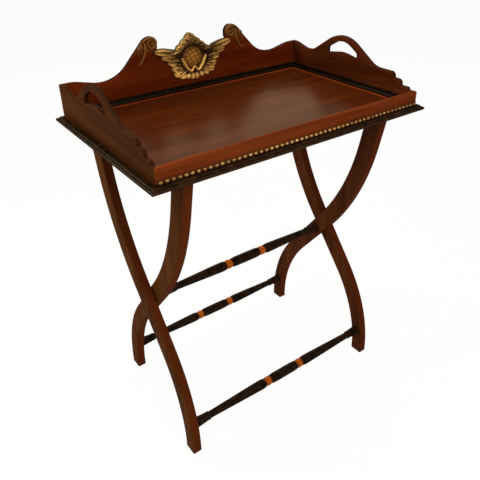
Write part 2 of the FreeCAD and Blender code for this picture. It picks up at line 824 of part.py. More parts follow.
def turned_rail(label, half_span, tenon, along, up):
    """A turned rail: a swelling barrel between two ball collars, vase tapers, rings and round tenons.

    One half is turned about the rail's own X and mirrored.
    """
    body = new_body(label)
    sketch = new_sketch(body, f"{label}_profile", "XZ_Plane")
    ring_out = half_span - s.turned_end_length
    ring_in = ring_out - s.ring_length
    collar_in = s.collar_offset - s.collar_length / 2
    collar_out = s.collar_offset + s.collar_length / 2
    bulge = s.collar_radius - s.collar_waist_radius
    draw_outline(sketch, "half", [
        (0, 0, 0),
        (half_span + tenon, 0, 0),
        (half_span + tenon, s.tenon_radius, 0),
        (half_span, s.tenon_radius, 0),
        (half_span, s.turned_end_radius, 0),
        (ring_out, s.neck_radius, 0),
        (ring_out, s.ring_radius, 0),
        (ring_in, s.ring_radius, 0),
        (ring_in, s.neck_radius, 0),
        (collar_out + s.swell_shoulder, s.swell_radius, 0),
        (collar_out, s.collar_waist_radius, 0),
        (collar_out - bulge, s.collar_radius, 0),
        (collar_in + bulge, s.collar_radius, 0),
        (collar_in, s.collar_waist_radius, 0),
        (collar_in, s.barrel_end_radius, 0),
        (collar_in - s.barrel_taper, s.barrel_radius, 0),
        (0, s.barrel_radius, 0),
    ])
    half = body.newObject("PartDesign::Revolution", f"{label}_half")
    half.Profile = sketch
    half.ReferenceAxis = (sketch, ["H_Axis"])
    half.Angle = 360
    doc.recompute()
    mirrored(body, half)
    place(body, 0, along, up)


def pivot_washer(side):
    """Thin washer on the pivot rail's tenon that keeps the crossing legs from rubbing."""
    body = new_body(f"pivot_washer_{side}")
    sketch = new_sketch(body, f"washer_{side}", "YZ_Plane")
    draw_circle(sketch, "rim", 0, 0, s.washer_radius)
    draw_circle(sketch, "bore", 0, 0, s.tenon_radius + s.tenon_clearance)
    pad(body, sketch, s.washer_thickness)
    place(body, outer_inside - s.washer_thickness if side == "right" else -outer_inside, 0, s.pivot_height)


def batten_inner_face():
    """Distance from the middle to the batten face that a leg top pushes against."""
    return top_of_leg() + s.leg_top_depth / (2 * cosine(s.top_lean)) + s.batten_clearance


def batten(side):
    """Hardwood batten under the floor that stops the leg tops from spreading."""
    strip = new_primitive("Part::Box", f"batten_{side}")
    bind(strip, "Length", s.stand_width)
    bind(strip, "Width", s.batten_width)
    bind(strip, "Height", s.batten_height)
    inner = batten_inner_face()
    along = inner if side == "back" else -inner - s.batten_width
    place(strip, -s.stand_width / 2, along, s.stand_height - s.batten_height)


# Inner faces of the outer and of the inner legs, from the middle of the stand.
outer_inside = s.stand_width / 2 - s.leg_width
inner_inside = outer_inside - s.washer_thickness - s.leg_width

tray_floor()
for side in SIDES:
    rim(side)
back_board()
front_lip()
for side in ("left", "right"):
    end_board(side)
for side in ("back", "left", "right"):
    cove(side)
    string(side)
bead_moulding()
cartouche()
for side in ("left", "right"):
    scroll_ornament(side)
for side in ("front", "back"):
    batten(side)
for side in ("left", "right"):
    leg("outer", side)
    leg("inner", side)
    pivot_washer(side)
pivot_tenon = s.leg_width + s.washer_thickness + s.tenon_length
turned_rail("pivot_rail", inner_inside, pivot_tenon, 0, s.pivot_height)
turned_rail("rear_stretcher", inner_inside, s.tenon_length, stretcher_spread(), s.stretcher_height)
turned_rail("front_stretcher", outer_inside, s.tenon_length, -stretcher_spread(), s.stretcher_height)

doc.recompute()
failed = [item.Label for item in doc.Objects if "Invalid" in item.State or "Error" in item.State]
if failed:
    raise RuntimeError(f"these did not build: {failed}")
unsound = [item.Label for item in parts if item.Shape.isNull() or not item.Shape.isValid()]
if unsound:
    raise RuntimeError(f"these have no valid shape: {unsound}")

os.makedirs("parts", exist_ok=True)
for item in parts:
    item.Shape.exportStep(f"parts/{item.Label}.step")
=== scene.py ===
import math

import bmesh
import bpy
import numpy as np
from mathutils import Matrix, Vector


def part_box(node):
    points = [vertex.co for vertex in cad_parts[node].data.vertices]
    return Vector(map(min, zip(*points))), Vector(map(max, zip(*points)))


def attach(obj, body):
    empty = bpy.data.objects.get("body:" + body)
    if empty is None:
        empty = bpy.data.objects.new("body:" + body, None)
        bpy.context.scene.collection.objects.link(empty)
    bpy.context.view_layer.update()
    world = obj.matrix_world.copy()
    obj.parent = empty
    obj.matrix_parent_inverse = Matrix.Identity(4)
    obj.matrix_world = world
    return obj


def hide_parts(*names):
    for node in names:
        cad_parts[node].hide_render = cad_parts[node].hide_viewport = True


# A butler's tray table: a galleried mahogany tray with ebonised mouldings and gilt carving, lying loose on
# a folding stand of crossed S-shaped legs and turned rails. Metres, +Z up, +Y towards the scrolled back.
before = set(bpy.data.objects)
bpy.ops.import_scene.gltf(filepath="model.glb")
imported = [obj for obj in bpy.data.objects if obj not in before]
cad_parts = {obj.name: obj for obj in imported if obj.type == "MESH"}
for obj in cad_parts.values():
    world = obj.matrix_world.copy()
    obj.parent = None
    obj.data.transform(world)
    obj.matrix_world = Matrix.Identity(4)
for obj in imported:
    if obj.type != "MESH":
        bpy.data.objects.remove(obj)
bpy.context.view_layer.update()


# Tray floor: one wide mahogany panel, french polished until the figure shows through a deep gloss.
# The grain runs along the tray. The panel is glued up flat and carries the boards of the gallery.
def grain_group():
    """Shader group for straight-grained wood whose fibres run along its X.

    Figure is noise stretched along X, with wide bands across; Fibre is the same, finer; Pores are short
    dark dashes, where a fine stretched noise passes a threshold.
    """
    group = bpy.data.node_groups.new("wood_grain", "ShaderNodeTree")
    group.interface.new_socket("Vector", in_out="INPUT", socket_type="NodeSocketVector")
    for output in ("Figure", "Fibre", "Pores"):
        group.interface.new_socket(output, in_out="OUTPUT", socket_type="NodeSocketFloat")
    nodes, links = group.nodes, group.links
    start = nodes.new("NodeGroupInput")
    end = nodes.new("NodeGroupOutput")

    def stretched_noise(scale, detail, distortion):
        stretch = nodes.new("ShaderNodeVectorMath")
        stretch.operation = "MULTIPLY"
        stretch.inputs[1].default_value = scale
        links.new(start.outputs["Vector"], stretch.inputs[0])
        noise = nodes.new("ShaderNodeTexNoise")
        noise.inputs["Scale"].default_value = 1.0
        noise.inputs["Detail"].default_value = detail
        noise.inputs["Roughness"].default_value = 0.55
        noise.inputs["Distortion"].default_value = distortion
        links.new(stretch.outputs[0], noise.inputs["Vector"])
        return noise.outputs[0]

    def ranged(value, low, high):
        span = nodes.new("ShaderNodeMapRange")
        span.inputs["From Min"].default_value = low
        span.inputs["From Max"].default_value = high
        links.new(value, span.inputs["Value"])
        return span.outputs[0]

    for output, scale, detail, distortion, low, high in (
        ("Figure", (2.2, 26.0, 26.0), 3.0, 0.6, 0.32, 0.68),
        ("Fibre", (7.0, 190.0, 190.0), 4.0, 0.3, 0.30, 0.70),
        ("Pores", (70.0, 1500.0, 1500.0), 1.0, 0.0, 0.60, 0.72),
    ):
        noise = stretched_noise(scale, detail, distortion)
        links.new(ranged(noise, low, high), end.inputs[output])
    return group


wood_grain = grain_group()

GRAIN_TURNS = {"x": (0, 0, 0), "y": (0, 0, -math.pi / 2), "z": (0, math.pi / 2, 0)}


def polished_wood(name, along, offset, deep, warm, gloss, coat, stain_and_light=None):
    """French-polished wood: the figure runs from a deep to a warm colour, the fibre and the pores darken
    it, and a clear coat lies over pore dimples. An extra colour and its strength cover the faces whose
    attribute aside is near 1: a real black staining on the sawn edges of boards, and painted light on the
    narrow faces of the legs."""
    material = bpy.data.materials.new(name)
    material.use_nodes = True
    nodes, links = material.node_tree.nodes, material.node_tree.links
    shader = nodes["Principled BSDF"]
    place = nodes.new("ShaderNodeTexCoord")
    turn = nodes.new("ShaderNodeMapping")
    turn.inputs["Location"].default_value = offset
    turn.inputs["Rotation"].default_value = GRAIN_TURNS[along]
    links.new(place.outputs["Object"], turn.inputs["Vector"])
    grain = nodes.new("ShaderNodeGroup")
    grain.node_tree = wood_grain
    links.new(turn.outputs[0], grain.inputs["Vector"])

    def mixed(factor, first, second, strength=1.0):
        scale = nodes.new("ShaderNodeMath")
        scale.operation = "MULTIPLY"
        scale.inputs[1].default_value = strength
        links.new(factor, scale.inputs[0])
        mix = nodes.new("ShaderNodeMix")
        mix.data_type = "RGBA"
        links.new(scale.outputs[0], mix.inputs["Factor"])
        for socket, colour in ((mix.inputs["A"], first), (mix.inputs["B"], second)):
            if isinstance(colour, tuple):
                socket.default_value = (*colour, 1.0)
            else:
                links.new(colour, socket)
        return mix.outputs["Result"]

    dark_share = 0.35
    dark = tuple(dark_share * channel for channel in deep)
    colour = mixed(grain.outputs["Figure"], deep, warm)
    colour = mixed(grain.outputs["Fibre"], colour, dark, strength=0.4)
    colour = mixed(grain.outputs["Pores"], colour, dark, strength=0.6)
    if stain_and_light:
        aside = nodes.new("ShaderNodeAttribute")
        aside.attribute_name = "aside"
        edge = nodes.new("ShaderNodeMapRange")
        edge.inputs["From Min"].default_value = 0.4
        edge.inputs["From Max"].default_value = 0.8
        links.new(aside.outputs["Fac"], edge.inputs["Value"])
        colour = mixed(edge.outputs[0], colour, *stain_and_light)
    links.new(colour, shader.inputs["Base Color"])
    polish = nodes.new("ShaderNodeMapRange")
    polish.inputs["To Min"].default_value = gloss - 0.05
    polish.inputs["To Max"].default_value = gloss + 0.08
    links.new(grain.outputs["Figure"], polish.inputs["Value"])
    links.new(polish.outputs[0], shader.inputs["Roughness"])
    dimple = nodes.new("ShaderNodeBump")
    dimple.inputs["Strength"].default_value = 0.25
    dimple.inputs["Distance"].default_value = 0.0003
    dimple.invert = True
    links.new(grain.outputs["Pores"], dimple.inputs["Height"])
    links.new(dimple.outputs[0], shader.inputs["Normal"])
    shader.inputs["Specular IOR Level"].default_value = 0.0
    shader.inputs["Coat Weight"].default_value = coat
    shader.inputs["Coat Roughness"].default_value = 0.25
    return material


def dress(node, material):
    """Give a solid that is shown as it is its finish."""
    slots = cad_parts[node].data.materials
    slots.clear()
    slots.append(material)


floor_wood = polished_wood(
    "floor_mahogany",
    along="x",
    offset=(0, 0, 0),
    deep=(0.052, 0.0096, 0.0018),
    warm=(0.092, 0.0204, 0.0041),
    gloss=0.34,
    coat=0.088,
)
dress("tray_floor", floor_wood)
floor_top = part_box("tray_floor")[1].z


# Rim: four lengths of ebonised moulding mitred round the edge of the floor, with a rounded nose below and
# a cove above. The black staining has worn brown in patches where hands and cloths rub it, and the upright
# faces of the nose are browner still, as a painted highlight.
SMOOTH_TURN = math.radians(50)


def add_surface(name, places, faces, material):
    """New mesh object from an array of places and one of faces, all with as many corners."""
    mesh = bpy.data.meshes.new(name)
    mesh.vertices.add(len(places))
    mesh.vertices.foreach_set("co", np.asarray(places, np.float32).ravel())
    mesh.loops.add(faces.size)
    mesh.loops.foreach_set("vertex_index", np.asarray(faces, np.int32).ravel())
    mesh.polygons.add(len(faces))
    mesh.polygons.foreach_set("loop_start", np.arange(0, faces.size, faces.shape[1], dtype=np.int32))
    mesh.update(calc_edges=True)
    mesh.polygons.foreach_set("use_smooth", np.ones(len(faces), bool))
    mesh.materials.append(material)
    piece = bpy.data.objects.new(name, mesh)
    bpy.context.scene.collection.objects.link(piece)
    return piece


def settle(piece, body, slot, *replaced):
    """Fix a piece to the body that carries it and hide the solids that it stands for; the slot, naming its
    finish, is not used.
    """
    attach(piece, body)
    if replaced:
        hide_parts(*replaced)


def merged_copy(node, name, material, body, slot, axis=None):
    """Surface of a solid with its triangles joined at the corners they share, to a micrometre, and shaded
    smooth across every edge that turns by less than SMOOTH_TURN.

    With an axis, the attribute aside runs from 0 on faces that look along it to 1 on faces square to it.
    """
    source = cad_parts[node].data
    places = np.empty(len(source.vertices) * 3)
    source.vertices.foreach_get("co", places)
    corners = np.empty(len(source.loops), np.int32)
    source.loops.foreach_get("vertex_index", corners)
    steps_per_metre = 1e6
    steps = np.round(places.reshape(-1, 3) * steps_per_metre).astype(np.int64)
    _, first, index = np.unique(steps, axis=0, return_index=True, return_inverse=True)
    triangles = index.reshape(-1)[corners].reshape(-1, 3)
    sound = (triangles != np.roll(triangles, 1, axis=1)).all(axis=1)
    piece = add_surface(name, places.reshape(-1, 3)[first], triangles[sound], material)
    piece.data.set_sharp_from_angle(angle=SMOOTH_TURN)
    if axis is not None:
        normals = np.empty(len(piece.data.polygons) * 3)
        piece.data.polygons.foreach_get("normal", normals)
        layer = piece.data.attributes.new("aside", "FLOAT", "FACE")
        layer.data.foreach_set("value", 1 - np.abs(normals[axis::3]).astype(np.float32))
    even = piece.modifiers.new("even_faces", "WEIGHTED_NORMAL")
    even.keep_sharp = True
    settle(piece, body, slot, node)


stain_black = (0.0060, 0.0036, 0.0020)
worn_and_sheen_brown = (0.050, 0.022, 0.0075)
nose_wear_and_sheen = 0.35


def ebonised_wood(name, wear):
    """Black-stained wood: cloudy patches of a brown wear colour show through a near-black staining; where the
    attribute aside is high, as on a nose, more brown is added as a painted highlight."""
    material = bpy.data.materials.new(name)
    material.use_nodes = True
    nodes, links = material.node_tree.nodes, material.node_tree.links
    shader = nodes["Principled BSDF"]
    place = nodes.new("ShaderNodeTexCoord")
    cloud = nodes.new("ShaderNodeTexNoise")
    cloud.inputs["Scale"].default_value = 55.0
    cloud.inputs["Detail"].default_value = 4.0
    links.new(place.outputs["Object"], cloud.inputs["Vector"])
    aside = nodes.new("ShaderNodeAttribute")
    aside.attribute_name = "aside"
    # Painted highlight: the attribute aside adds brown on the upright faces of a nose, on top of the worn
    # patches.
    worn = nodes.new("ShaderNodeMath")
    worn.operation = "MULTIPLY_ADD"
    worn.inputs[1].default_value = nose_wear_and_sheen
    links.new(aside.outputs["Fac"], worn.inputs[0])
    links.new(cloud.outputs[0], worn.inputs[2])
    patch = nodes.new("ShaderNodeMapRange")
    patch.inputs["From Min"].default_value = 0.35
    patch.inputs["From Max"].default_value = 1.0
    patch.inputs["To Max"].default_value = wear
    links.new(worn.outputs[0], patch.inputs["Value"])
    mix = nodes.new("ShaderNodeMix")
    mix.data_type = "RGBA"
    mix.inputs["A"].default_value = (*stain_black, 1)
    mix.inputs["B"].default_value = (*worn_and_sheen_brown, 1)
    links.new(patch.outputs[0], mix.inputs["Factor"])
    links.new(mix.outputs["Result"], shader.inputs["Base Color"])
    polish = nodes.new("ShaderNodeMapRange")
    polish.inputs["To Min"].default_value = 0.26
    polish.inputs["To Max"].default_value = 0.42
    links.new(cloud.outputs[0], polish.inputs["Value"])
    links.new(polish.outputs[0], shader.inputs["Roughness"])
    shader.inputs["Specular IOR Level"].default_value = 0.0
    shader.inputs["Coat Weight"].default_value = 0.05
    shader.inputs["Coat Roughness"].default_value = 0.22
    return material


moulding_black = ebonised_wood("ebonised_moulding", wear=0.75)
for side in ("front", "back", "left", "right"):
    merged_copy(f"rim_{side}", f"rim_moulding_{side}", moulding_black, "tray", "ebonised_wood", 2)


# Gallery: a back board with two scrolls, end boards pierced for the hands and a low front lip, sawn from
# mahogany planks, eased along their top edges and mitred at the corners. The sawn edges of the back and of
# the end boards are stained black.
edge_black = (0.010, 0.005, 0.0024)
back_wood = polished_wood(
    "back_mahogany",
    along="x",
    offset=(0.31, 0.2, 0),
    deep=(0.088, 0.0120, 0.0017),
    warm=(0.155, 0.026, 0.004),
    gloss=0.36,
    coat=0.03,
    stain_and_light=(edge_black, 0.88),
)
lip_wood = polished_wood(
    "lip_mahogany",
    along="x",
    offset=(0.77, 0.4, 0),
    deep=(0.10, 0.0160, 0.0030),
    warm=(0.18, 0.0360, 0.0070),
    gloss=0.36,
    coat=0.04,
)
left_wood = polished_wood(
    "left_mahogany",
    along="y",
    offset=(0.15, 0.6, 0),
    deep=(0.045, 0.0126, 0.0030),
    warm=(0.083, 0.0265, 0.0067),
    gloss=0.36,
    coat=0.03,
    stain_and_light=(edge_black, 0.6),
)
right_wood = polished_wood(
    "right_mahogany",
    along="y",
    offset=(0.55, 0.1, 0),
    deep=(0.056, 0.0110, 0.0026),
    warm=(0.102, 0.0240, 0.0058),
    gloss=0.36,
    coat=0.03,
    stain_and_light=(edge_black, 0.6),
)
merged_copy("back_board", "back_board_eased", back_wood, "tray", "mahogany", 1)
merged_copy("front_lip", "front_lip_eased", lip_wood, "tray", "mahogany")
merged_copy("left_board", "left_board_eased", left_wood, "tray", "mahogany", 0)
merged_copy("right_board", "right_board_eased", right_wood, "tray", "mahogany", 0)


# Inside mouldings: an ebonised cove at the foot of the back and of each end board, with a thin string of
# pale orange wood glued to the floor along it.
cove_black = ebonised_wood("ebonised_cove", wear=0.3)
for side in ("back", "left", "right"):
    merged_copy(f"cove_{side}", f"cove_moulding_{side}", cove_black, "tray", "ebonised_wood")
string_deep = (0.23, 0.036, 0.004)
string_warm = (0.36, 0.064, 0.007)
string_wood_x = polished_wood(
    "string_wood_x", "x", (0.4, 0.1, 0), string_deep, string_warm, gloss=0.36, coat=0.03
)
string_wood_y = polished_wood(
    "string_wood_y", "y", (0.2, 0.3, 0), string_deep, string_warm, gloss=0.36, coat=0.03
)
dress("string_back", string_wood_x)
dress("string_left", string_wood_y)
dress("string_right", string_wood_y)


# Bead moulding: a gilt strip along the foot of the lip, carved into a row of round beads. The strip between
# them is coloured dark red, standing for its dirty ground and for painted shade in the gaps.
def gilt(name, bright, dull, shade_and_grime, metal, rough):
    """Gilding over carved wood: an attribute on the carving is 1 where it is drawn lit and gilt, and 0 in the
    hollows and on the sides drawn in shade, where a dark colour stands for dirt and painted shade; noise
    makes the gold patchy."""
    material = bpy.data.materials.new(name)
    material.use_nodes = True
    nodes, links = material.node_tree.nodes, material.node_tree.links
    shader = nodes["Principled BSDF"]
    place = nodes.new("ShaderNodeTexCoord")
    patches = nodes.new("ShaderNodeTexNoise")
    patches.inputs["Scale"].default_value = 260.0
    patches.inputs["Detail"].default_value = 3.0
    links.new(place.outputs["Object"], patches.inputs["Vector"])
    gold = nodes.new("ShaderNodeMix")
    gold.data_type = "RGBA"
    gold.inputs["A"].default_value = (*dull, 1)
    gold.inputs["B"].default_value = (*bright, 1)
    links.new(patches.outputs[0], gold.inputs["Factor"])
    lit_gold = nodes.new("ShaderNodeAttribute")
    lit_gold.attribute_name = "lit_gold"
    cover = nodes.new("ShaderNodeMath")
    cover.operation = "MULTIPLY_ADD"
    patchiness = 0.5
    cover.inputs[1].default_value = patchiness
    links.new(patches.outputs[0], cover.inputs[0])
    links.new(lit_gold.outputs["Fac"], cover.inputs[2])
    # Painted shade: where the carving's attribute is low, the colour turns to the dark colour that stands for
    # dirt and for shade in the hollows and on the sides.
    lit_share = nodes.new("ShaderNodeMapRange")
    lit_share.inputs["From Min"].default_value = 0.42
    lit_share.inputs["From Max"].default_value = 1.1
    links.new(cover.outputs[0], lit_share.inputs["Value"])
    mix = nodes.new("ShaderNodeMix")
    mix.data_type = "RGBA"
    mix.inputs["A"].default_value = (*shade_and_grime, 1)
    links.new(lit_share.outputs[0], mix.inputs["Factor"])
    links.new(gold.outputs["Result"], mix.inputs["B"])
    links.new(mix.outputs["Result"], shader.inputs["Base Color"])
    shine = nodes.new("ShaderNodeMath")
    shine.operation = "MULTIPLY"
    shine.inputs[1].default_value = metal
    links.new(lit_share.outputs[0], shine.inputs[0])
    links.new(shine.outputs[0], shader.inputs["Metallic"])
    worn = nodes.new("ShaderNodeMapRange")
    worn.inputs["To Min"].default_value = rough + 0.12
    worn.inputs["To Max"].default_value = rough - 0.08
    links.new(patches.outputs[0], worn.inputs["Value"])
    links.new(worn.outputs[0], shader.inputs["Roughness"])
    chips = nodes.new("ShaderNodeBump")
    chips.inputs["Strength"].default_value = 0.3
    chips.inputs["Distance"].default_value = 0.0006
    links.new(patches.outputs[0], chips.inputs["Height"])
    links.new(chips.outputs[0], shader.inputs["Normal"])
    shader.inputs["Specular IOR Level"].default_value = 0.05
    return material


def grid_faces(rows, columns):
    """Four-cornered faces of a grid of places whose last column joins on to its first."""
    row = np.arange(rows - 1)[:, None] * columns
    column = np.arange(columns)[None, :]
    after = (column + 1) % columns
    above = row + columns
    corners = [row + column, row + after, above + after, above + column]
    return np.stack(corners, -1).reshape(-1, 4)


def join_patches(patches):
    """Stack (places, faces, ridge) patches into one, counting the faces' corners on."""
    starts = np.cumsum([0] + [len(places) for places, _, _ in patches[:-1]])
    places = np.concatenate([patch[0] for patch in patches])
    faces = np.concatenate([patch[1] + start for patch, start in zip(patches, starts)])
    lit_gold = np.concatenate([patch[2] for patch in patches])
    return places, faces, lit_gold


MERGE_DISTANCE = 1e-7


def carved_piece(name, patches, material):
    """One object from carved patches: poles and seams are merged and faces turned outwards."""
    places, faces, lit_gold = join_patches(patches)
    piece = add_surface(name, places, faces, material)
    layer = piece.data.attributes.new("lit_gold", "FLOAT", "POINT")
    layer.data.foreach_set("value", lit_gold.astype(np.float32))
    shape = bmesh.new()
    shape.from_mesh(piece.data)
    bmesh.ops.remove_doubles(shape, verts=shape.verts, dist=MERGE_DISTANCE)
    bmesh.ops.recalc_face_normals(shape, faces=shape.faces)
    shape.to_mesh(piece.data)
    shape.free()
    return piece


lip_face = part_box("front_lip")[0].y
strip_low, strip_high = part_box("bead_moulding")
bead_count = 53
bead_pitch = 0.0129
bead_half_length = 0.0058
bead_half_height = 0.0047
bead_relief = 0.0044
strip_thickness = 0.0014
strip_lit_gold = 0.1
bright_spread = 0.13


def bead_row():
    """Domes in a row: a point at angle a round a bead and climb b from its rim to its crown lies at the share
    cos(b) of an ellipse and stands sin(b) of the relief proud. Each bead is drawn lighter on its crown and
    its upper half, a painted highlight over painted shade below; the row is brighter in the middle, by a bell
    curve, and two sines vary it from bead to bead."""
    around = np.linspace(0, 2 * math.pi, 12, endpoint=False)
    climb = np.linspace(0, math.pi / 2, 6)
    spread = np.cos(climb)[:, None]
    across = bead_half_length * spread * np.cos(around)
    up = bead_half_height * spread * np.sin(around)
    proud = bead_relief * np.sin(climb)[:, None] * np.ones_like(around)
    middle = (strip_low.z + strip_high.z) / 2
    one = np.stack([across, lip_face - strip_thickness - proud, middle + up], -1).reshape(-1, 3)
    index = np.arange(bead_count)
    shifts = (index - (bead_count - 1) / 2) * bead_pitch
    bell = np.exp(-((shifts / bright_spread) ** 2))
    uneven = np.sin(2.4 * index) * np.sin(1.1 * index)
    bead_brightness = 0.7 + 0.4 * bell + 0.2 * uneven
    places = one[None] + np.stack([shifts, 0 * shifts, 0 * shifts], -1)[:, None]
    faces = grid_faces(*across.shape)[None] + index[:, None, None] * len(one)
    # Painted highlight: the tone rises towards each bead's crown and upper half and falls to painted shade
    # below.
    lit_gold = (np.sin(climb)[:, None] ** 2 * (0.65 + 1.1 * spread * np.sin(around))).reshape(-1)
    return places.reshape(-1, 3), faces.reshape(-1, 4), (bead_brightness[:, None] * lit_gold).reshape(-1)


def flat_strip():
    """Plain strip behind the beads: the four corners of its section carried along the lip."""
    ends = np.array([strip_low.x, strip_high.x])
    back, front = lip_face, lip_face - strip_thickness
    low, high = strip_low.z, strip_high.z
    section = np.array([(back, low), (front, low), (front, high), (back, high)])
    places = np.concatenate([np.column_stack([np.full(len(section), end), section]) for end in ends])
    caps = np.array([(0, 1, 2, 3), (7, 6, 5, 4)])
    faces = np.concatenate([grid_faces(len(ends), len(section)), caps])
    # Painted shade: the flat strip takes a low tone, so it shows mostly the dark colour of dirt and shade.
    return places, faces, np.full(len(places), strip_lit_gold)


bead_gilt = gilt(
    "bead_gilding",
    bright=(0.68, 0.45, 0.16),
    dull=(0.27, 0.130, 0.033),
    shade_and_grime=(0.060, 0.0185, 0.0050),
    metal=0.25,
    rough=0.38,
)
beads = carved_piece("gilt_beads", [bead_row(), flat_strip()], bead_gilt)
settle(beads, "tray", "gilt_wood", "bead_moulding")


# Cartouche: a carved and gilded shell on the middle of the back board. A ruffled hood stands over an
# egg-shaped boss, above a ribbon waved like a W, between two acanthus leaves whose tips reach up to the
# scrolls. The cuts, the roots and edges of the lobes and the sides of the carving are darkened, as dirt and
# painted shade.
carving_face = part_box("back_board")[0].y
MILLIMETRE = 0.001


def on_board(across, proud, up):
    """Places on the back board from millimetres across it, proud of it and above the tray floor."""
    across, proud, up = np.broadcast_arrays(across, proud, up)
    places = np.stack([across, -proud, up], -1).reshape(-1, 3) * MILLIMETRE
    return places + np.array([0, carving_face, floor_top])


def carved_lobe(across, up, root, bend, tip, breadth, relief, rest, flutes, gold):
    """Height and tone of one leaf lobe at places on the board, in millimetres, and 0 off the lobe.

    A place is measured along and across the quadratic curve from root past bend to tip. The half breadth
    grows as the root of the share gone, up to full_at, and from closing_at on it closes as a quarter circle.
    Across, the height is an arch 1 - v ** 6 with cosine flutes; along, it swells as a sine, then rolls over.
    """
    full_at = 0.3
    closing_at = 0.62
    root, bend, tip = np.array([root, bend, tip], float)
    middle = (root + tip) / 2
    reach = np.linalg.norm(tip - root) / 2 + np.linalg.norm(bend - middle) + breadth
    near = np.flatnonzero(np.hypot(across - middle[0], up - middle[1]) < reach)
    share = np.linspace(0, 1, 33)[:, None]
    curve = (1 - share) ** 2 * root + 2 * share * (1 - share) * bend + share**2 * tip
    slope = 2 * (1 - share) * (bend - root) + 2 * share * (tip - bend)
    speed = np.linalg.norm(slope, axis=1)
    places = np.stack([across[near], up[near]], -1)
    nearest = ((places[:, None] - curve) ** 2).sum(-1).argmin(axis=1)
    offset = places - curve[nearest]
    way = slope[nearest] / speed[nearest, None]
    gone = share[nearest, 0] + (offset * way).sum(-1) / speed[nearest]
    aside = way[:, 0] * offset[:, 1] - way[:, 1] * offset[:, 0]
    closing = np.clip((gone - closing_at) / (1 - closing_at), 0, 1)
    half = breadth * np.sqrt(np.clip(gone / full_at, 0, 1) * (1 - closing**2))
    over = np.clip(aside / np.maximum(half, 1e-6), -1, 1)
    inside = (np.abs(over) < 1) & (gone > 0)
    crown = 0.5 - 0.5 * np.cos(math.pi * (over + 1) * flutes)
    swell = (0.45 + 0.55 * np.sin(0.75 * math.pi * np.clip(gone, 0, 1))) * (1 - 0.45 * closing**3)
    form = (1 - over**6) * (0.5 + 0.5 * crown)
    height = np.zeros_like(across)
    tone = np.zeros_like(across)
    height[near] = np.where(inside, rest + relief * swell * (0.15 + 0.85 * form), 0)
    # Painted shade: the tone falls towards the lobe's root and its edges, and is lightest towards the tip.
    tone[near] = np.where(inside, gold * swell * (0.15 + 0.85 * np.clip(gone, 0, 1) ** 1.3) * form, 0)
    return height, tone


ribbon_middle = -4.0
ribbon_half_width = 34.0


def ribbon(across, up):
    """Half-round ribbon under the boss: its line rises from the middle as a power of the share of its half
    width, with a bell-shaped hump in the middle, so that it reads as a wide W."""
    lowest = 46.5
    rise = 37.0
    hump = 13.5
    hump_width = 0.19
    share = np.linspace(-1, 1, 161)
    line_across = ribbon_half_width * share + ribbon_middle
    line_up = lowest + rise * np.abs(share) ** 2.2 + hump * np.exp(-((share / hump_width) ** 2))
    margin = 10
    in_width = np.abs(across - ribbon_middle) < ribbon_half_width + margin
    in_height = (up > lowest - margin) & (up < lowest + rise + margin)
    near = np.flatnonzero(in_width & in_height)
    away = (across[near, None] - line_across) ** 2 + (up[near, None] - line_up) ** 2
    nearest = away.argmin(axis=1)
    gap = np.sqrt(away.min(axis=1))
    thinnest = 2.6
    half = thinnest + thinnest * np.abs(share[nearest]) * (1 - share[nearest] ** 8)
    crown = np.sqrt(np.clip(1 - (gap / half) ** 2, 0, 1))
    rest = 8.0
    relief = 6.5
    gold = 1.1
    height = np.zeros_like(across)
    tone = np.zeros_like(across)
    height[near] = np.where(gap < half, rest + relief * crown, 0)
    # Painted highlight: the ribbon is lightest along its crown and darkens to painted shade at its edges.
    tone[near] = gold * crown
    return height, tone


hood_across = -8.0
hood_up = 92.0
hood_peak = math.radians(94)


def hood(across, up):
    """Ruffled hood over the boss, in polar measure about a point behind it.

    Two straight slopes, each a constant over a cosine, meet in a peak; scallops run along them. From the rim
    of the boss the surface swells as a sine to the edge, with flutes along it and small tufts all over.
    """
    angle = np.arctan2(up - hood_up, across - hood_across)
    far = np.hypot(up - hood_up, across - hood_across)

    def slope(distance, facing):
        return distance / np.maximum(np.cos(angle - math.radians(facing)), 0.6)

    right_slope = slope(distance=40.0, facing=52)
    left_slope = slope(distance=42.5, facing=132)
    scallops = 8.0
    scallop = 2.6 * np.abs(np.sin(scallops * (angle - hood_peak)))
    scallop_inset = 1.5
    edge = np.where(angle < hood_peak, right_slope, left_slope) - scallop_inset + scallop
    start = 28.0 - 10.5 * np.sin(angle)
    share = np.clip((far - start) / (edge - start), 0, 1)
    right_end, left_end = math.radians(6), math.radians(173)
    inside = (angle > right_end) & (angle < left_end) & (far < edge)
    flute = 0.5 - 0.5 * np.cos(2 * scallops * (angle - hood_peak) + 2.0 * np.sin(4 * share))
    tuft = np.sin(0.72 * across + 0.25 * up) * np.sin(0.62 * up - 0.3 * across)
    rest = 4.0
    swell = 8.0 * np.sin(0.62 * math.pi * share)
    flute_relief = 2.4
    tuft_relief = 1.5
    height = rest + swell + flute_relief * (flute - 0.5) * share + tuft_relief * tuft * share**0.5
    # Painted light: the tone is lighter towards the hood's left side, outwards, on the flutes and on the
    # tufts.
    left = 0.5 - 0.5 * np.cos(angle)
    tone = (0.55 + 0.45 * left) * (0.1 + 0.3 * share + 0.3 * flute * share + 0.5 * np.clip(tuft, 0, 1))
    return np.where(inside, height, 0), np.where(inside, tone * np.clip(share / 0.2, 0, 1), 0)


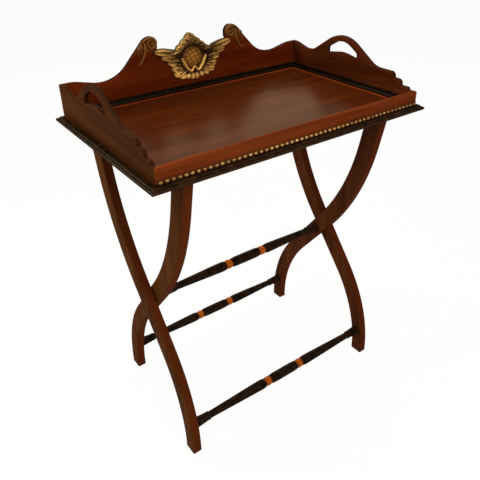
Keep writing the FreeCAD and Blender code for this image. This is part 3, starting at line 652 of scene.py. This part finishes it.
# Each lobe of a leaf: root, bend and tip on the board, breadth, relief, rest, flutes and gold, which scales
# how bright its gilding and painted light are drawn.
acanthus = [
    ((3, 46), (6, 36), (6.5, 24.5), 7.5, 9.0, 0.0, 1, 2.2),
    ((10, 45), (20, 38), (23, 28.5), 9.0, 9.5, 0.0, 1, 2.2),
    ((17, 47), (34, 43), (42, 33), 10.0, 10.0, 0.0, 2, 2.2),
    ((23, 52), (46, 52), (59, 42), 11.5, 10.5, 0.0, 3, 2.0),
    ((28, 60), (51, 66), (66, 59), 11.5, 11.0, 0.0, 3, 1.3),
    ((32, 69), (57, 80), (75, 75), 11.0, 11.0, 0.0, 2, 1.1),
    ((35, 79), (66, 95), (93, 92), 11.5, 10.5, 1.0, 3, 1.0),
    ((36, 90), (72, 103), (111, 109), 11.0, 10.0, 2.5, 2, 1.0),
]


def shell(across, up):
    """Highest of all the forms of the shell at each place on the board, with that form's tone.

    Where the two highest forms come level, a groove is cut between them and is darkened as painted shade.
    """
    forms = [carved_lobe(side * across, up, *lobe) for lobe in acanthus for side in (1, -1)]
    forms += [ribbon(across, up), hood(across, up)]
    heights = np.stack([form[0] for form in forms])
    tones = np.stack([form[1] for form in forms])
    top = heights.argmax(axis=0)
    each = np.arange(len(across))
    highest = heights[top, each]
    groove_breadth = 1.6
    groove_depth = 1.8
    clear = np.clip((highest - np.sort(heights, axis=0)[-2]) / groove_breadth, 0, 1)
    height = np.where(highest > 0, highest - groove_depth * (1 - clear), 0)
    return height, tones[top, each] * (0.1 + 0.9 * clear)


boss_middle = (-7, 83)
boss_half_width = 30.0
boss_half_height = 28.0


def boss(across, up):
    """Egg-shaped dome, the root of 1 less the squared share of its radii, cut by two families of slanting
    grooves that cross; the tone is painted shade in the grooves and towards the dome's rim, and painted light
    on the cells near its middle."""
    beside = (across - boss_middle[0]) / boss_half_width
    above = (up - boss_middle[1]) / boss_half_height
    share = beside**2 + above**2
    dome = np.sqrt(np.clip(1 - share, 0, 1))
    first_pitch = 13.0
    second_pitch = 12.0
    first = np.abs(np.sin(math.pi * (across + 0.5 * up) / first_pitch))
    second = np.abs(np.sin(math.pi * (0.4 * across - up) / second_pitch))
    weave = np.minimum(first, second) ** 0.5
    rest = 6.5
    relief = 7.0
    groove_depth = 2.0
    height = rest + relief * dome - groove_depth * (1 - weave) * dome
    tone = 0.05 + 0.2 * dome + 0.85 * weave * dome**2
    return np.where(share < 1, height, 0), tone


def carved_relief(field, centre, reach, rays, rings, ground):
    """Closed relief on the board from a field of heights that spreads like a star from its centre.

    Rays leave the centre at even angles, each up to the last place that the field carves. Rings lie at even
    shares of the rays, no lower than the ground; a wall and a flat back on the board close the form.
    """
    angle = np.linspace(0, 2 * math.pi, rays, endpoint=False)
    samples_per_millimetre = 4
    far = np.linspace(0, reach, int(samples_per_millimetre * reach))[:, None]

    def sampled(distance):
        across = centre[0] + distance * np.cos(angle)
        up = centre[1] + distance * np.sin(angle)
        height, tone = field(across.reshape(-1), up.reshape(-1))
        return across, up, height.reshape(across.shape), tone.reshape(across.shape)

    carved = sampled(far)[2] > 0
    last = far[len(far) - 1 - carved[::-1].argmax(axis=0), 0]
    across, up, height, tone = sampled(np.linspace(0, 1, rings)[:, None] * last)
    across = np.concatenate([across, across[-1:], across[:1]])
    up = np.concatenate([up, up[-1:], up[:1]])
    proud = np.concatenate([np.maximum(height, ground), np.zeros((2, rays))])
    # The wall and the back take no gold: they are drawn in the dark colour, as painted shade on the carving's
    # sides.
    lit_gold = np.concatenate([tone, np.zeros((2, rays))])
    return on_board(across, proud, up), grid_faces(*proud.shape), lit_gold.reshape(-1)


carving_gilt = gilt(
    "carving_gilding",
    bright=(0.94, 0.58, 0.17),
    dull=(0.35, 0.165, 0.034),
    shade_and_grime=(0.024, 0.0090, 0.003),
    metal=0.3,
    rough=0.38,
)
shell_relief = carved_relief(shell, centre=(-2, 80), reach=116, rays=600, rings=110, ground=1.5)
shell_piece = carved_piece("carved_shell", [shell_relief], carving_gilt)
settle(shell_piece, "tray", "gilt_wood", "cartouche")
boss_gilt = gilt(
    "boss_gilding",
    bright=(0.50, 0.235, 0.042),
    dull=(0.175, 0.061, 0.007),
    shade_and_grime=(0.045, 0.0145, 0.0023),
    metal=0.2,
    rough=0.42,
)
boss_relief = carved_relief(boss, centre=boss_middle, reach=34, rays=160, rings=60, ground=0.0)
boss_piece = carved_piece("carved_boss", [boss_relief], boss_gilt)
settle(boss_piece, "tray", "gilt_wood")


# Scroll ornaments: on each scroll of the back board a rounded band winds inwards to an eye, and four slender
# leaflets hang down beside it. They are carved and bronzed.
scroll_across = 115.0
scroll_up = 129.5
scroll_drift = 2.0


def half_round():
    """Closed section of a carved band: cosines across an arch and back along its foot, and their heights."""
    round_way = np.linspace(0, math.pi, 9)[None, :]
    beside = np.concatenate([np.cos(round_way), np.cos(round_way[:, ::-1])], axis=1)
    arch = np.concatenate([np.sin(round_way), 0 * round_way], axis=1)
    return beside, arch


def volute(way):
    """Band wound inwards over two turns: its centre line swings in along the scroll's top edge, keeps radius
    12.6 round the scroll and then closes evenly to 3.6, and its half breadth falls from 4.6 to 1.5; the
    section is a half ellipse, and both ends close to a point."""
    turns = 2.0
    first_angle = -0.05
    widest, closest = 12.6, 3.6
    closing_at = 0.25
    broad, narrow = 4.6, 1.5
    first_relief, last_relief = 5.2, 2.4
    gone = np.linspace(0, 1, 180)[:, None]
    swing = 18.0 * np.exp(-gone / 0.045)
    turn = turns * 2 * math.pi * gone + first_angle
    closing = np.clip((gone - closing_at) / (1 - closing_at), 0, 1)
    radius = widest - (widest - closest) * closing + swing
    breadth = broad - (broad - narrow) * gone
    beside, arch = half_round()
    first_taper, last_taper = 0.12, 0.04
    ends = np.sqrt(np.clip(np.minimum(gone / first_taper, (1 - gone) / last_taper), 0, 1))
    reach = radius + breadth * beside * ends
    proud = (last_relief + (first_relief - last_relief) * (1 - gone)) * arch * ends
    across = scroll_across - scroll_drift * gone + reach * np.cos(turn)
    up = scroll_up + scroll_drift * gone + reach * np.sin(turn)
    # Painted highlight: the tone is highest on the band's crown and falls to painted shade at its foot.
    lit_gold = 0.15 + 0.85 * np.broadcast_to(arch, proud.shape)
    return on_board(way * across, proud, up), grid_faces(*proud.shape), lit_gold.reshape(-1)


def eye(way):
    """Round button in the middle of a volute: half an ellipsoid on the board."""
    around = np.linspace(0, 2 * math.pi, 24, endpoint=False)[None, :]
    climb = np.linspace(0, math.pi / 2, 9)[:, None]
    radius = 3.4
    relief = 4.4
    across = scroll_across - scroll_drift + radius * np.cos(climb) * np.cos(around)
    up = scroll_up + scroll_drift + radius * np.cos(climb) * np.sin(around)
    # Painted highlight: the tone grows towards the button's crown.
    lit_gold = np.broadcast_to(np.sin(climb), across.shape)
    return on_board(way * across, relief * lit_gold, up), grid_faces(*across.shape), lit_gold.reshape(-1)


def leaflet(way, root, bend, tip, breadth):
    """One slender leaf on the board: an arched section carried along the quadratic curve from root past bend
    to tip; its half breadth grows to breadth in the first quarter and closes as a root towards the tip."""
    share = np.linspace(0, 1, 25)[:, None]
    root, bend, tip = np.array([root, bend, tip], float)
    curve = (1 - share) ** 2 * root + 2 * share * (1 - share) * bend + share**2 * tip
    slope = 2 * (1 - share) * (bend - root) + 2 * share * (tip - bend)
    slope /= np.linalg.norm(slope, axis=1, keepdims=True)
    full_at = 0.25
    opening = np.clip(share / full_at, 0, 1)
    closing = np.clip((1 - share) / (1 - full_at), 0, 1)
    half = breadth * np.sqrt(opening * closing)
    beside, arch = half_round()
    across = curve[:, :1] - slope[:, 1:] * half * beside
    up = curve[:, 1:] + slope[:, :1] * half * beside
    proud = (1.0 + 0.75 * half) * arch
    # Painted highlight: the tone follows the arch, lightest on the crown and dark at the foot.
    lit_gold = np.broadcast_to(arch, up.shape)
    return on_board(way * across, proud, up), grid_faces(*up.shape), lit_gold.reshape(-1)


# Each leaflet: root, bend and tip on the board, and breadth.
leaflets = [
    ((133, 137), (124, 103), (155, 81), 4.8),
    ((139, 132), (144, 121), (142, 107), 3.9),
    ((145, 129), (152, 118), (148, 104), 3.6),
    ((131, 120), (124, 115), (115, 116), 2.8),
]
bronzing = gilt(
    "bronzed_carving",
    bright=(0.23, 0.101, 0.023),
    dull=(0.115, 0.046, 0.0088),
    shade_and_grime=(0.024, 0.009, 0.003),
    metal=0.2,
    rough=0.45,
)
for side, way in (("left", -1), ("right", 1)):
    patches = [volute(way), eye(way)] + [leaflet(way, *shape) for shape in leaflets]
    scroll = carved_piece(f"carved_scroll_{side}", patches, bronzing)
    settle(scroll, "tray", "carved_wood", f"scroll_ornament_{side}")


# Battens: two plain strips fixed under the tray, one along the front and one along the back, that hold the
# leg tops apart. They are of paler wood, left unpolished.
batten_wood = polished_wood(
    "batten_wood",
    along="x",
    offset=(0.5, 0.9, 0),
    deep=(0.13, 0.06, 0.025),
    warm=(0.21, 0.105, 0.045),
    gloss=0.62,
    coat=0.0,
)
dress("batten_front", batten_wood)
dress("batten_back", batten_wood)


# Legs: four S-shaped mahogany legs of oblong section with eased arrises, sawn from thick plank so that the
# grain runs straight up while the leg curves. The outer pair folds round the inner pair. The narrow faces
# that look to the front and the back are painted redder, as painted light, and the right-hand pair takes a
# darker copy of the same browns, as painted shade.
# Painted light and shade: the browns of the right-hand legs are a darker copy of the left-hand ones, and the
# red covers the narrow faces.
lit_left_browns = ((0.060, 0.0178, 0.0040), (0.118, 0.0430, 0.0102))
shaded_right_browns = ((0.049, 0.0128, 0.0033), (0.096, 0.0300, 0.0086))
narrow_lit_red = (0.083, 0.0135, 0.0018)
for node, body, wood_name, offset, browns in (
    ("outer_leg_left", "outer_frame", "leg_wood_a", (0.1, 0.3, 0.2), lit_left_browns),
    ("outer_leg_right", "outer_frame", "leg_wood_b", (0.4, 0.7, 0.1), shaded_right_browns),
    ("inner_leg_left", "inner_frame", "leg_wood_c", (0.8, 0.2, 0.6), lit_left_browns),
    ("inner_leg_right", "inner_frame", "leg_wood_d", (0.6, 0.5, 0.9), shaded_right_browns),
):
    wood = polished_wood(wood_name, "z", offset, *browns, gloss=0.38, coat=0.03, stain_and_light=(narrow_lit_red, 0.7))
    merged_copy(node, f"{node}_eased", wood, body, "mahogany", 0)


# Turned rails: three ebonised spindles with a straight barrel in the middle, vase-shaped tapers, rings and
# ends that widen to the legs. Two carved balls on each are left in bright orange wood.
TURNED_STEPS = 48
ball_middle = 54.0
ball_half_length = 10.0
ball_core = 8.6
vase_start = 78.0
swell_radius = 12.8
collar_radius = 10.4
neck_radius = 8.8
ring_length = 5.0
ring_relief = 2.2
end_length = 36.0
end_radius = 10.2
end_flare = 2.8
tenon_radius = 7.0


def turned(profile, along, up):
    """Surface of revolution about a line along X: a profile of (x, radius) points, turned right round."""
    around = np.linspace(0, 2 * math.pi, TURNED_STEPS, endpoint=False)
    across, radius = np.repeat(profile[:, :1], TURNED_STEPS, axis=1), profile[:, 1:]
    rings = [across, along + radius * np.cos(around), up + radius * np.sin(around)]
    places = np.stack(rings, -1).reshape(-1, 3)
    return places, grid_faces(*across.shape), np.zeros(len(places))


def spindle_profile(half_span, tenon):
    """Half profile of a rail from its middle to the end of its tenon, in millimetres.

    The barrel is straight but for its eased ends; the core of the ball follows. The vase climbs to its swell
    as a quarter ellipse and falls to the neck, the ring is half round, and the end widens evenly.
    """
    share = np.linspace(0, 1, 13)
    quarter = math.pi / 2 * share
    ball_start, ball_end = ball_middle - ball_half_length, ball_middle + ball_half_length
    climb = vase_start - ball_end
    vase_end = half_span - end_length - ring_length
    barrel_end = ball_start - 0.5
    barrel_ease = 1.4
    barrel = np.column_stack([barrel_end * share, swell_radius - barrel_ease * share**6])
    rise = (swell_radius - collar_radius) * np.sin(quarter)
    shoulder = np.column_stack([ball_end + climb * (1 - np.cos(quarter)), collar_radius + rise])
    fall = (swell_radius - neck_radius) * (1 - share**1.2) ** 1.2
    vase = np.column_stack([vase_start + (vase_end - vase_start) * share, neck_radius + fall])
    bulge = ring_relief * np.sin(0.7 * math.pi * share) ** 0.6
    ring = np.column_stack([vase_end + ring_length * share, neck_radius + bulge])
    end_start = half_span - end_length
    end = np.column_stack([end_start + end_length * share, end_radius + end_flare * share])
    tenon_end = half_span + tenon
    return np.concatenate([
        barrel,
        [(ball_start, ball_core), (ball_end, ball_core)],
        shoulder,
        vase[1:],
        ring[1:],
        end[1:],
        [(half_span, tenon_radius), (tenon_end, tenon_radius), (tenon_end, 0.0)],
    ])


def carved_ball(middle, along, up):
    """Ball collar, a flattened ball whose radius is cut by two families of spiral grooves that cross."""
    share = np.linspace(0, 1, 17)[:, None]
    across = middle - ball_half_length + 2 * ball_half_length * share
    rim = 9.0
    bulge = 3.4
    radius = rim + bulge * np.sin(math.pi * share) ** 0.6
    profile = np.hstack([across, radius]) * MILLIMETRE
    places, faces, _ = turned(profile, 0, 0)
    around = np.linspace(0, 2 * math.pi, TURNED_STEPS, endpoint=False)
    grooves = 8
    groove_depth = 0.11
    first = np.abs(np.sin(grooves / 2 * around + 2 * math.pi * share))
    second = np.abs(np.sin(grooves / 2 * around - 2 * math.pi * share))
    middle_share = np.sin(math.pi * share)
    cut = np.minimum(first, second) ** 0.6
    scale = (1 - groove_depth * (1 - cut) * middle_share).reshape(-1)
    # Painted shade: the tone is darker in the grooves and towards the ball's ends.
    tone = (0.3 + 0.7 * cut * middle_share).reshape(-1)
    return places * np.column_stack([np.ones_like(scale), scale, scale]) + (0, along, up), faces, tone


spindle_black = ebonised_wood("ebonised_spindle", wear=0.8)
ball_wood = gilt(
    "orange_carving",
    bright=(0.52, 0.128, 0.007),
    dull=(0.37, 0.080, 0.004),
    shade_and_grime=(0.15, 0.028, 0.002),
    metal=0.0,
    rough=0.36,
)
inner_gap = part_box("inner_leg_right")[0].x / MILLIMETRE
outer_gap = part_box("outer_leg_right")[0].x / MILLIMETRE
for node, body, half_span in (
    ("pivot_rail", "inner_frame", inner_gap),
    ("rear_stretcher", "inner_frame", inner_gap),
    ("front_stretcher", "outer_frame", outer_gap),
):
    low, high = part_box(node)
    along, up = (low.y + high.y) / 2, (low.z + high.z) / 2
    half = spindle_profile(half_span, high.x / MILLIMETRE - half_span)
    whole = np.concatenate([half[:0:-1] * (-1, 1), half]) * MILLIMETRE
    spindle = carved_piece(f"{node}_turned", [turned(whole, along, up)], spindle_black)
    spindle.data.set_sharp_from_angle(angle=SMOOTH_TURN)
    settle(spindle, body, "ebonised_wood", node)
    pair = [carved_ball(-ball_middle, along, up), carved_ball(ball_middle, along, up)]
    balls = carved_piece(f"{node}_balls", pair, ball_wood)
    settle(balls, body, "string_wood")


# Pivot washers: thin discs on the tenons of the pivot rail, one between each pair of crossing legs, that
# keep the legs from rubbing as the stand folds. Their brass has gone dull.
washer_brass = bpy.data.materials.new("washer_brass")
washer_brass.use_nodes = True
washer_nodes, washer_links = washer_brass.node_tree.nodes, washer_brass.node_tree.links
washer_shader = washer_nodes["Principled BSDF"]
washer_stain = washer_nodes.new("ShaderNodeTexNoise")
washer_stain.inputs["Scale"].default_value = 300.0
washer_place = washer_nodes.new("ShaderNodeTexCoord")
washer_ramp = washer_nodes.new("ShaderNodeMix")
washer_ramp.data_type = "RGBA"
washer_ramp.inputs["A"].default_value = (0.3, 0.19, 0.06, 1)
washer_ramp.inputs["B"].default_value = (0.5, 0.34, 0.12, 1)
washer_links.new(washer_place.outputs["Object"], washer_stain.inputs["Vector"])
washer_links.new(washer_stain.outputs[0], washer_ramp.inputs["Factor"])
washer_links.new(washer_ramp.outputs["Result"], washer_shader.inputs["Base Color"])
washer_shader.inputs["Metallic"].default_value = 1.0
washer_shader.inputs["Roughness"].default_value = 0.45
dress("pivot_washer_left", washer_brass)
dress("pivot_washer_right", washer_brass)


# Room: a pale floor that runs into a white surround, four soft lamps, and a camera 1.2 m up, to the left of
# the tray's front, that looks down on it.
def room_floor():
    """Level square plane of 30 m, white to the camera but shaded where the table keeps the light off."""
    half = 15.0
    places = np.array([(-half, -half, 0), (half, -half, 0), (half, half, 0), (-half, half, 0)])
    material = bpy.data.materials.new("pale_floor")
    material.use_nodes = True
    nodes, links = material.node_tree.nodes, material.node_tree.links
    shader = nodes["Principled BSDF"]
    shader.inputs["Base Color"].default_value = (0.94, 0.94, 0.94, 1)
    shader.inputs["Roughness"].default_value = 0.9
    shader.inputs["Specular IOR Level"].default_value = 0.0
    path = nodes.new("ShaderNodeLightPath")
    glow = nodes.new("ShaderNodeEmission")
    glow.inputs["Strength"].default_value = 1.0
    blend = nodes.new("ShaderNodeMixShader")
    share = nodes.new("ShaderNodeMath")
    share.operation = "MULTIPLY"
    whiteness = 0.95
    share.inputs[1].default_value = whiteness
    seen = nodes.new("ShaderNodeMath")
    seen.operation = "MAXIMUM"
    links.new(path.outputs["Is Camera Ray"], seen.inputs[0])
    links.new(path.outputs["Is Glossy Ray"], seen.inputs[1])
    links.new(seen.outputs[0], share.inputs[0])
    links.new(share.outputs[0], blend.inputs[0])
    links.new(shader.outputs[0], blend.inputs[1])
    links.new(glow.outputs[0], blend.inputs[2])
    links.new(blend.outputs[0], nodes["Material Output"].inputs["Surface"])
    floor = add_surface("room_floor", places, np.array([(0, 1, 2, 3)]), material)


room_floor()
world = bpy.data.worlds.new("white_surround")
bpy.context.scene.world = world
world.use_nodes = True
world_nodes, world_links = world.node_tree.nodes, world.node_tree.links
dim = world_nodes["Background"]
dim.inputs["Color"].default_value = (1, 1, 1, 1)
dim.inputs["Strength"].default_value = 0.24
bright = world_nodes.new("ShaderNodeBackground")
bright.inputs["Color"].default_value = (1, 1, 1, 1)
bright.inputs["Strength"].default_value = 1.0
ray = world_nodes.new("ShaderNodeLightPath")
plain = world_nodes.new("ShaderNodeMath")
plain.operation = "MAXIMUM"
clear = world_nodes.new("ShaderNodeMath")
clear.operation = "MAXIMUM"
either = world_nodes.new("ShaderNodeMixShader")
world_links.new(ray.outputs["Is Camera Ray"], plain.inputs[0])
world_links.new(ray.outputs["Is Glossy Ray"], plain.inputs[1])
world_links.new(plain.outputs[0], clear.inputs[0])
world_links.new(ray.outputs["Is Transmission Ray"], clear.inputs[1])
world_links.new(clear.outputs[0], either.inputs[0])
world_links.new(dim.outputs[0], either.inputs[1])
world_links.new(bright.outputs[0], either.inputs[2])
world_links.new(either.outputs[0], world_nodes["World Output"].inputs["Surface"])


def lamp(name, place, aim, size, watts, colour):
    """Square soft lamp at a place, facing an aim point: its -Z axis is turned along the line between them."""
    light = bpy.data.lights.new(name, "AREA")
    light.color = colour
    light.size = size
    light.energy = watts
    holder = bpy.data.objects.new(name, light)
    bpy.context.scene.collection.objects.link(holder)
    holder.location = place
    line = np.asarray(aim, float) - np.asarray(place, float)
    lean = math.atan2(math.hypot(line[0], line[1]), -line[2])
    holder.rotation_euler = (lean, 0, math.atan2(-line[0], line[1]))


lamp("front_lamp", (-0.45, -1.6, 1.9), (0, 0, 0.6), size=1.0, watts=31, colour=(1.0, 0.88, 0.75))
lamp("left_lamp", (-0.95, 0.95, 1.3), (-0.2, 0, 0.7), size=0.6, watts=15, colour=(1.0, 0.9, 0.66))
lamp("top_lamp", (0.0, 0.3, 3.0), (0, 0, 0.7), size=1.6, watts=25, colour=(1.0, 0.96, 0.84))
lamp("back_lamp", (1.8, 2.5, 1.95), (0, 0, 0.77), size=1.7, watts=44, colour=(1.0, 0.74, 0.42))

camera_data = bpy.data.cameras.new("photo_view")
camera_data.sensor_width = 36.0
camera_data.lens = 41.64
camera_data.shift_x = -0.0137
camera_data.shift_y = -0.0772
camera = bpy.data.objects.new("photo_view", camera_data)
bpy.context.scene.collection.objects.link(camera)
bpy.context.scene.camera = camera
camera.location = (-0.716531, -1.005295, 1.203815)
turn = math.radians(-35.775)
tilt = math.radians(28.856)
roll = math.radians(-0.902)
back = np.array([math.sin(turn) * math.cos(tilt), -math.cos(turn) * math.cos(tilt), math.sin(tilt)])
right = np.array([math.cos(turn), math.sin(turn), 0])
above = np.cross(back, right)
columns = [
    math.cos(roll) * right + math.sin(roll) * above,
    math.cos(roll) * above - math.sin(roll) * right,
    back,
]
camera.rotation_euler = Matrix(np.column_stack(columns).tolist()).to_euler()
bpy.context.scene.view_settings.view_transform = "Standard"
